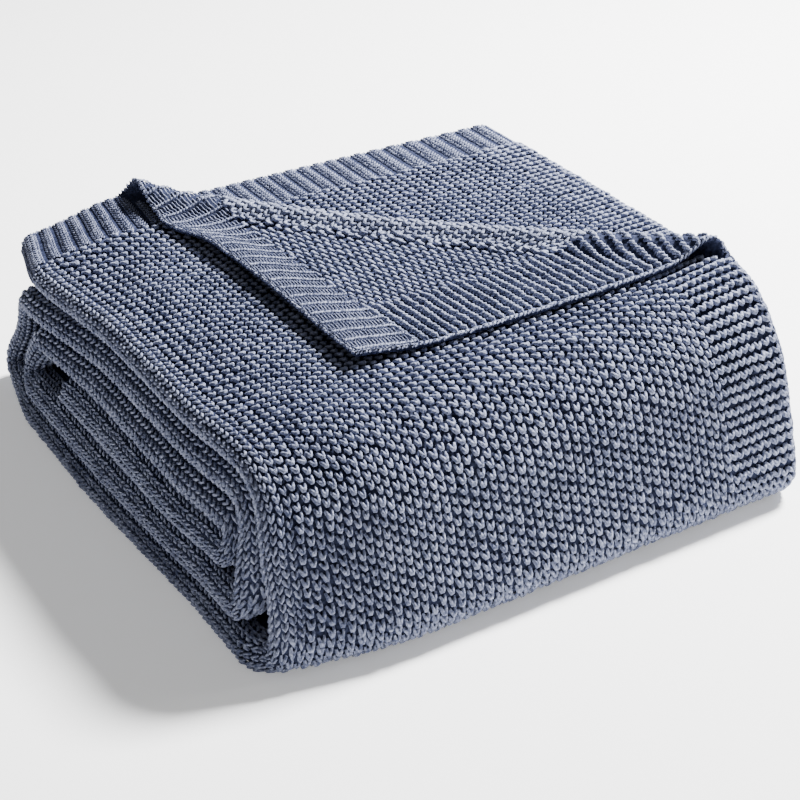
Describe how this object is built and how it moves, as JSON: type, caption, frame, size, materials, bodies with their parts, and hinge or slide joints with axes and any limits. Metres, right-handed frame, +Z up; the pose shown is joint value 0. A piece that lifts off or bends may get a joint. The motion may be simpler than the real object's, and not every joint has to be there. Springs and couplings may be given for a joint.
{
  "type": "folded knitted blanket",
  "caption": "Chunky knitted blanket, folded in three and rolled flat, with ribbed ends, ridged side borders and one corner turned back.",
  "frame": {"origin": "middle of the footprint, on the surface that the blanket lies on", "axes": "+X along the folded width from the folded end to the free side edge, +Y from the rounded front fold to the back, +Z up"},
  "size_m": [0.4082, 0.4286, 0.1474],
  "materials": {
    "knit_yarn": "matte chunky knit in slate blue yarn"
  },
  "bodies": {
    "root": {"blanket": "knit_yarn"}
  },
  "joints": []
}
